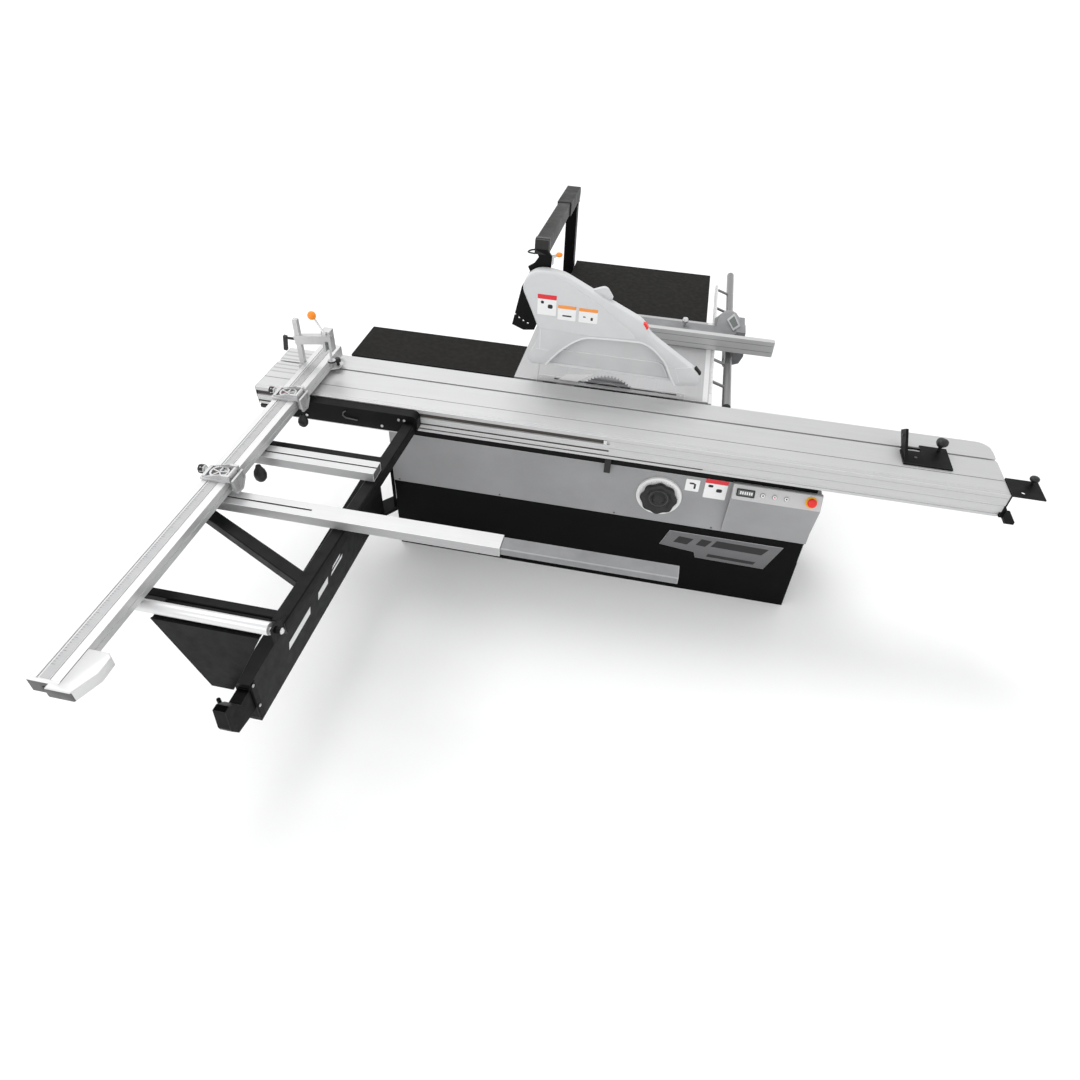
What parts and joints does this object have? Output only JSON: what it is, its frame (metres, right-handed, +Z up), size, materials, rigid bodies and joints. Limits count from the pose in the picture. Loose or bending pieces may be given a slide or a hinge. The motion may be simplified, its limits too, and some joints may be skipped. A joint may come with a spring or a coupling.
{
  "type": "sliding table panel saw",
  "caption": "Panel saw with a long sliding table, outrigger frame and crosscut fence, overhead blade guard, rip fence, and a cabinet with a tilting saw unit.",
  "frame": {"origin": "on the floor under the middle of the cabinet, in line with the front edge of the saw table", "axes": "+X along the sliding table to the infeed end with the controls, +Y away from the operator's side to the rip fence, +Z up"},
  "size_m": [3.325, 3.65, 1.4967],
  "materials": {
    "aluminium": "brushed and anodised extrusion",
    "black_paint": "satin black powder coat",
    "black_plastic": "matte black moulding",
    "cast_iron": "ground surface",
    "casting_grey": "grey painted casting",
    "grey_paint": "satin mid-grey paint",
    "guard_grey": "light grey moulded shell",
    "orange_plastic": "glossy orange moulding",
    "pale_plastic": "pale satin moulding",
    "red_plastic": "glossy red moulding",
    "rubber": "black drive belt",
    "steel": "bright steel",
    "table_black": "matte black sheet"
  },
  "bodies": {
    "frame": {"base_cabinet": "black_paint", "upper_cabinet": "grey_paint", "support_frame": "black_paint", "slide_beam": "black_paint", "cast_table": "cast_iron", "table_insert": "steel", "outfeed_table": "table_black", "side_table": "table_black", "side_table_strut": "black_paint", "rip_rail": "steel", "overhead_column": "black_paint", "control_box": "grey_paint", "wheel_dial": "pale_plastic", "power_inlet": "black_plastic", "dust_outlet": "black_paint", "swing_arm_bracket": "black_paint"},
    "tilt_unit": {"tilt_frame": "casting_grey", "scoring_unit": "casting_grey"},
    "lift_unit": {"lift_carriage": "cast_iron", "saw_motor": "casting_grey", "riving_knife": "pale_plastic", "drive_belt": "rubber"},
    "main_spindle": {"main_blade": "steel"},
    "motor_shaft": {"motor_rotor": "steel"},
    "scoring_spindle": {"scoring_blade": "steel"},
    "height_wheel": {"handwheel": "black_plastic"},
    "latch": {"table_latch": "black_plastic"},
    "stop_button": {"e_stop": "red_plastic"},
    "start_key": {"button_start": "pale_plastic"},
    "stop_key": {"button_stop": "pale_plastic"},
    "scoring_key": {"button_scoring": "pale_plastic"},
    "slide": {"sliding_table": "aluminium", "end_plate": "black_paint", "outrigger_frame": "black_paint", "support_bar_rear": "aluminium", "support_bar_front": "aluminium"},
    "end_clamp": {"end_knob": "black_plastic"},
    "shoe": {"edging_shoe": "black_paint"},
    "shoe_clamp": {"shoe_knob": "black_plastic"},
    "extension": {"support_extension": "casting_grey"},
    "roller": {"support_roller": "aluminium"},
    "fence": {"crosscut_fence": "aluminium", "holddown_post": "steel"},
    "fence_tail": {"fence_extension": "aluminium"},
    "press_lever": {"holddown_lever": "orange_plastic"},
    "press_foot": {"holddown_foot": "steel"},
    "press_lock": {"holddown_lock": "black_plastic"},
    "stop_1": {"stop_1_carriage": "aluminium"},
    "stop_1_finger": {"stop_1_flap": "aluminium"},
    "stop_2": {"stop_2_carriage": "aluminium"},
    "stop_2_finger": {"stop_2_flap": "aluminium"},
    "guard_arm": {"overhead_arm": "black_paint"},
    "guard": {"blade_guard": "guard_grey"},
    "rip_carriage": {"rip_head": "casting_grey"},
    "rip_rule": {"rip_fence_plate": "aluminium"},
    "rip_lock": {"rip_lock_knob": "steel"},
    "rip_fine": {"rip_fine_knob": "pale_plastic"},
    "rip_clamp": {"rip_clamp_knob": "black_plastic"},
    "support_arm": {"swing_arm_outer": "black_paint"},
    "support_arm_tail": {"swing_arm_inner": "black_paint"}
  },
  "joints": [
    {"name": "table_slide", "type": "slide", "parent": "frame", "child": "slide", "axis": [1, 0, 0], "range_m": [-1, 1.5]},
    {"name": "fence_mitre", "type": "hinge", "parent": "slide", "child": "fence", "pos_m": [-1.3275, -0.26, 0.9], "axis": [0, 0, 1], "range_deg": [0, 45]},
    {"name": "fence_extend", "type": "slide", "parent": "fence", "child": "fence_tail", "axis": [0, -1, 0], "range_m": [0, 0.9]},
    {"name": "stop_1_travel", "type": "slide", "parent": "fence", "child": "stop_1", "axis": [0, 1, 0], "range_m": [-0.45, 0.17]},
    {"name": "stop_2_travel", "type": "slide", "parent": "fence", "child": "stop_2", "axis": [0, 1, 0], "range_m": [-0.72, 0.03]},
    {"name": "stop_1_flip", "type": "hinge", "parent": "stop_1", "child": "stop_1_finger", "pos_m": [-1.27, -0.58, 0.969], "axis": [0, -1, 0], "range_deg": [0, 100]},
    {"name": "stop_2_flip", "type": "hinge", "parent": "stop_2", "child": "stop_2_finger", "pos_m": [-1.27, -1.15, 0.969], "axis": [0, -1, 0], "range_deg": [0, 100]},
    {"name": "holddown_throw", "type": "hinge", "parent": "fence", "child": "press_lever", "pos_m": [-1.248, -0.289, 1.108], "axis": [0, 1, 0], "range_deg": [0, 100]},
    {"name": "holddown_press", "type": "slide", "parent": "fence", "child": "press_foot", "axis": [0, 0, -1], "range_m": [0, 0.07]},
    {"name": "holddown_lock_turn", "type": "hinge", "parent": "fence", "child": "press_lock", "pos_m": [-1.404, -0.289, 1.052], "axis": [1, 0, 0], "range_deg": [-60, 60]},
    {"name": "extension_slide", "type": "slide", "parent": "slide", "child": "extension", "axis": [1, 0, 0], "range_m": [-0.44, 0.55]},
    {"name": "roller_spin", "type": "hinge", "parent": "slide", "child": "roller", "pos_m": [-1.1, -1.725, 0.857], "axis": [1, 0, 0], "continuous": true},
    {"name": "shoe_travel", "type": "slide", "parent": "slide", "child": "shoe", "axis": [1, 0, 0], "range_m": [-0.9, 0.15]},
    {"name": "shoe_clamp_turn", "type": "hinge", "parent": "shoe", "child": "shoe_clamp", "pos_m": [1.405, -0.206, 0.888], "axis": [0, 0, 1], "continuous": true},
    {"name": "end_clamp_turn", "type": "hinge", "parent": "slide", "child": "end_clamp", "pos_m": [1.738, -0.352, 0.886], "axis": [0, 0, 1], "continuous": true},
    {"name": "rip_travel", "type": "slide", "parent": "frame", "child": "rip_carriage", "axis": [0, 1, 0], "range_m": [-0.38, 0.6]},
    {"name": "rip_rule_travel", "type": "slide", "parent": "rip_carriage", "child": "rip_rule", "axis": [1, 0, 0], "range_m": [-0.25, 0.06]},
    {"name": "rip_lock_turn", "type": "hinge", "parent": "rip_carriage", "child": "rip_lock", "pos_m": [0.29, 0.6, 0.915], "axis": [0, 0, 1], "continuous": true},
    {"name": "rip_fine_turn", "type": "hinge", "parent": "rip_rule", "child": "rip_fine", "pos_m": [0.33, 0.5, 0.899], "axis": [0, 0, 1], "continuous": true},
    {"name": "rip_clamp_turn", "type": "hinge", "parent": "rip_carriage", "child": "rip_clamp", "pos_m": [0.53, 0.56, 0.782], "axis": [0, 1, 0], "range_deg": [-90, 90]},
    {"name": "guard_arm_swing", "type": "hinge", "parent": "frame", "child": "guard_arm", "pos_m": [-0.432, 1.3, 1.23], "axis": [0, 0, -1], "range_deg": [0, 60]},
    {"name": "guard_tilt", "type": "hinge", "parent": "guard_arm", "child": "guard", "pos_m": [-0.3455, -0.03, 1.2963], "axis": [0, -1, 0], "range_deg": [0, 35]},
    {"name": "blade_tilt", "type": "hinge", "parent": "frame", "child": "tilt_unit", "pos_m": [0, -0.03, 0.88], "axis": [-1, 0, 0], "range_deg": [0, 45]},
    {"name": "blade_lift", "type": "slide", "parent": "tilt_unit", "child": "lift_unit", "axis": [0, 0, 1], "range_m": [-0.08, 0.005]},
    {"name": "main_spin", "type": "hinge", "parent": "lift_unit", "child": "main_spindle", "pos_m": [-0.02, -0.03, 0.7725], "axis": [0, 1, 0], "continuous": true},
    {"name": "motor_spin", "type": "hinge", "parent": "lift_unit", "child": "motor_shaft", "pos_m": [-0.185, 0, 0.585], "axis": [0, 1, 0], "continuous": true},
    {"name": "scoring_spin", "type": "hinge", "parent": "tilt_unit", "child": "scoring_spindle", "pos_m": [0.22, -0.03, 0.824], "axis": [0, 1, 0], "continuous": true},
    {"name": "height_wheel_turn", "type": "hinge", "parent": "frame", "child": "height_wheel", "pos_m": [0.29, -0.375, 0.561], "axis": [0, 1, 0], "range_deg": [-2900, 200]},
    {"name": "latch_turn", "type": "hinge", "parent": "frame", "child": "latch", "pos_m": [0.045, -0.375, 0.706], "axis": [0, 1, 0], "range_deg": [0, 90]},
    {"name": "e_stop_press", "type": "slide", "parent": "frame", "child": "stop_button", "axis": [0, 0.874, -0.486], "range_m": [0, 0.004], "stiffness_N_per_m": 1500},
    {"name": "start_press", "type": "slide", "parent": "frame", "child": "start_key", "axis": [0, 0.874, -0.486], "range_m": [0, 0.003], "stiffness_N_per_m": 600},
    {"name": "stop_press", "type": "slide", "parent": "frame", "child": "stop_key", "axis": [0, 0.874, -0.486], "range_m": [0, 0.003], "stiffness_N_per_m": 600},
    {"name": "scoring_press", "type": "slide", "parent": "frame", "child": "scoring_key", "axis": [0, 0.874, -0.486], "range_m": [0, 0.003], "stiffness_N_per_m": 600},
    {"name": "support_arm_swing", "type": "hinge", "parent": "frame", "child": "support_arm", "pos_m": [-1.065, -0.42, 0.35], "axis": [0, 0, 1], "range_deg": [-36, 54]},
    {"name": "support_arm_extend", "type": "slide", "parent": "support_arm", "child": "support_arm_tail", "axis": [0, -1, 0], "range_m": [-0.06, 0.35]}
  ],
  "couplings": [
    {"joint": "height_wheel_turn", "follows": "blade_lift", "rad_per_m": 628.3},
    {"joint": "motor_spin", "follows": "main_spin", "ratio": 0.7},
    {"joint": "holddown_press", "follows": "holddown_throw", "m_per_rad": 0.04},
    {"joint": "support_arm_swing", "follows": "table_slide", "rad_per_m": 0.62}
  ]
}
